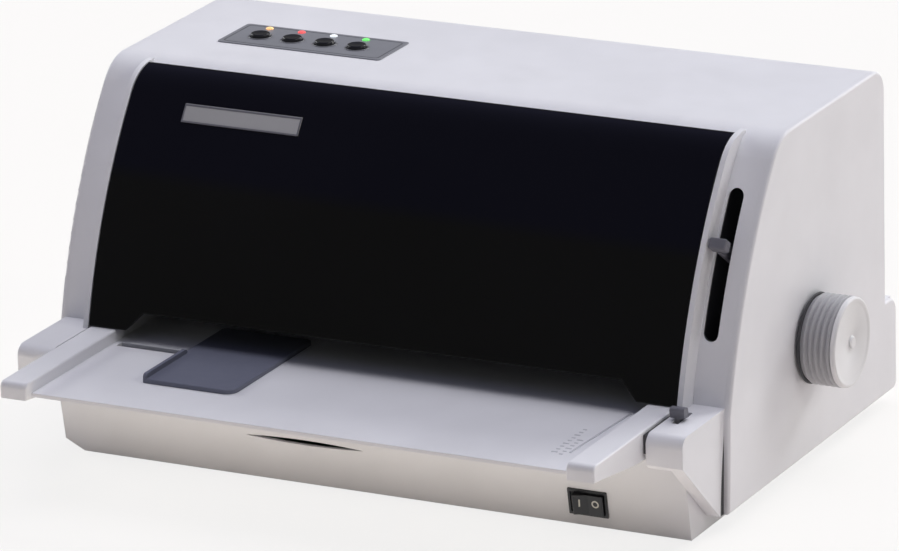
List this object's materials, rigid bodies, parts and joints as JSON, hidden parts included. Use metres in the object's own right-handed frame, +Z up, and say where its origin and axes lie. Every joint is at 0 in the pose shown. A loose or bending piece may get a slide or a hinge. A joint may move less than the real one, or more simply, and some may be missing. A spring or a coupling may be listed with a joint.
{
  "type": "dot matrix printer",
  "caption": "Flatbed dot matrix printer: bowed black hinged front cover, railed paper table with sliding guide, button panel on top, platen knob on the right.",
  "frame": {"origin": "on the table top under the centre of the whole printer's box, knob and paper table included", "axes": "+X along the platen to the right seen from the front, +Y from the paper table to the rear, +Z up"},
  "size_m": [0.411, 0.3192, 0.1926],
  "materials": {
    "casing": "fine moulded texture",
    "cover": "polished smoked black",
    "plate_grey": "satin",
    "slate": "fine texture",
    "button": "satin",
    "lamp": "clear tinted lens",
    "switch_black": "satin",
    "lever_grey": "satin",
    "grip": "grooved",
    "cap": "satin",
    "steel": "ground",
    "sheet_steel": "zinc plated sheet",
    "roller_rubber": "ground rubber",
    "gear": "natural acetal",
    "aluminium": "black anodised",
    "motor": "dark plated",
    "board": "green solder mask",
    "core": "varnished laminations",
    "belt": "toothed belt",
    "cartridge": "textured"
  },
  "bodies": {
    "root": {"upper_housing": "casing", "left_side_panel": "casing", "right_side_panel": "casing", "lower_case": "casing", "left_side_frame": "sheet_steel", "right_side_frame": "sheet_steel", "paper_table": "casing", "operator_panel": "plate_grey", "status_lamps": "lamp", "panel_board": "board", "switch_housing": "switch_black", "pinch_brackets": "sheet_steel", "feed_motor": "motor", "platen_bar": "sheet_steel", "chassis_plate": "sheet_steel", "guide_shaft": "steel", "front_guide_rail": "sheet_steel", "exit_chute": "sheet_steel", "carriage_belt": "belt", "pulley_brackets": "sheet_steel", "carriage_motor": "motor", "main_board": "board", "transformer": "core", "interface_connector": "switch_black", "mains_inlet": "switch_black", "rubber_feet": "roller_rubber", "casing_screws": "steel"},
    "front_cover": {"front_cover": "cover", "cover_hinge_pins": "steel", "name_plate": "plate_grey"},
    "paper_guide": {"paper_guide": "slate"},
    "gap_lever": {"gap_lever": "lever_grey"},
    "selector_lever": {"selector_lever": "lever_grey"},
    "power_rocker": {"power_rocker": "switch_black"},
    "platen_knob": {"knob_grip": "grip", "knob_cap": "cap", "knob_shaft": "steel", "knob_gear": "gear"},
    "front_feed": {"front_feed_shaft": "steel", "front_feed_rollers": "roller_rubber", "front_feed_gear": "gear"},
    "rear_feed": {"rear_feed_shaft": "steel", "rear_feed_rollers": "roller_rubber", "rear_feed_gear": "gear"},
    "idler": {"idler_gear": "gear"},
    "pinion": {"feed_pinion": "gear", "feed_motor_shaft": "steel"},
    "front_pinch": {"front_pinch_roller": "roller_rubber"},
    "rear_pinch": {"rear_pinch_roller": "roller_rubber"},
    "carriage": {"carriage": "cartridge", "print_head": "cartridge", "head_heat_sink": "aluminium", "ribbon_cartridge": "cartridge"},
    "ribbon_knob": {"ribbon_knob": "cartridge"},
    "drive_pulley": {"drive_pulley": "gear"},
    "idle_pulley": {"idle_pulley": "gear"},
    "button_1": {"panel_button_1": "button"},
    "button_2": {"panel_button_2": "button"},
    "button_3": {"panel_button_3": "button"},
    "button_4": {"panel_button_4": "button"}
  },
  "joints": [
    {"name": "cover_hinge", "type": "hinge", "parent": "root", "child": "front_cover", "pos_m": [-0.0115, 0.00955, 0.1862], "axis": [-1, 0, 0], "range_deg": [0, 75]},
    {"name": "guide_slide", "type": "slide", "parent": "root", "child": "paper_guide", "axis": [1, 0, 0], "range_m": [-0.03, 0]},
    {"name": "gap_lever_turn", "type": "hinge", "parent": "root", "child": "gap_lever", "pos_m": [0.167, 0.04065, 0.0938], "axis": [1, 0, 0], "range_deg": [-14, 18]},
    {"name": "selector_turn", "type": "hinge", "parent": "root", "child": "selector_lever", "pos_m": [0.1655, -0.07415, 0.054], "axis": [1, 0, 0], "range_deg": [-26, 1]},
    {"name": "rocker_turn", "type": "hinge", "parent": "root", "child": "power_rocker", "pos_m": [0.1153, -0.07416, 0.01546], "axis": [0, -0.1772, 0.9842], "range_deg": [-14, 0]},
    {"name": "button_1_press", "type": "slide", "parent": "root", "child": "button_1", "axis": [0, 0, -1], "range_m": [0, 0.0012], "stiffness_N_per_m": 300},
    {"name": "button_2_press", "type": "slide", "parent": "root", "child": "button_2", "axis": [0, 0, -1], "range_m": [0, 0.0012], "stiffness_N_per_m": 300},
    {"name": "button_3_press", "type": "slide", "parent": "root", "child": "button_3", "axis": [0, 0, -1], "range_m": [0, 0.0012], "stiffness_N_per_m": 300},
    {"name": "button_4_press", "type": "slide", "parent": "root", "child": "button_4", "axis": [0, 0, -1], "range_m": [0, 0.0012], "stiffness_N_per_m": 300},
    {"name": "knob_turn", "type": "hinge", "parent": "root", "child": "platen_knob", "pos_m": [0.1615, 0.04985, 0.07065], "axis": [1, 0, 0], "continuous": true},
    {"name": "front_feed_turn", "type": "hinge", "parent": "root", "child": "front_feed", "pos_m": [0.1615, 0.02785, 0.055], "axis": [1, 0, 0], "continuous": true},
    {"name": "rear_feed_turn", "type": "hinge", "parent": "root", "child": "rear_feed", "pos_m": [0.1615, 0.07185, 0.055], "axis": [1, 0, 0], "continuous": true},
    {"name": "idler_turn", "type": "hinge", "parent": "root", "child": "idler", "pos_m": [0.1615, 0.09145, 0.045], "axis": [1, 0, 0], "continuous": true},
    {"name": "pinion_turn", "type": "hinge", "parent": "root", "child": "pinion", "pos_m": [0.1615, 0.10568, 0.0377], "axis": [1, 0, 0], "continuous": true},
    {"name": "front_pinch_turn", "type": "hinge", "parent": "root", "child": "front_pinch", "pos_m": [-0.0115, 0.02785, 0.0673], "axis": [1, 0, 0], "continuous": true},
    {"name": "rear_pinch_turn", "type": "hinge", "parent": "root", "child": "rear_pinch", "pos_m": [-0.0115, 0.07185, 0.0673], "axis": [1, 0, 0], "continuous": true},
    {"name": "carriage_slide", "type": "slide", "parent": "root", "child": "carriage", "axis": [1, 0, 0], "range_m": [-0.1, 0.1]},
    {"name": "ribbon_knob_turn", "type": "hinge", "parent": "carriage", "child": "ribbon_knob", "pos_m": [-0.0415, 0.00085, 0.1], "axis": [0, 0, 1], "continuous": true},
    {"name": "drive_pulley_turn", "type": "hinge", "parent": "root", "child": "drive_pulley", "pos_m": [-0.1545, 0.10035, 0.1], "axis": [0, 1, 0], "continuous": true},
    {"name": "idle_pulley_turn", "type": "hinge", "parent": "root", "child": "idle_pulley", "pos_m": [0.1315, 0.10035, 0.1], "axis": [0, 1, 0], "continuous": true}
  ],
  "couplings": [
    {"joint": "front_feed_turn", "follows": "knob_turn", "ratio": -1.25},
    {"joint": "rear_feed_turn", "follows": "knob_turn", "ratio": -1.25},
    {"joint": "idler_turn", "follows": "knob_turn", "ratio": 1.5},
    {"joint": "pinion_turn", "follows": "knob_turn", "ratio": -2.5},
    {"joint": "front_pinch_turn", "follows": "knob_turn", "ratio": 1.75},
    {"joint": "rear_pinch_turn", "follows": "knob_turn", "ratio": 1.75},
    {"joint": "drive_pulley_turn", "follows": "carriage_slide", "rad_per_m": 126.58},
    {"joint": "idle_pulley_turn", "follows": "carriage_slide", "rad_per_m": 126.58}
  ]
}
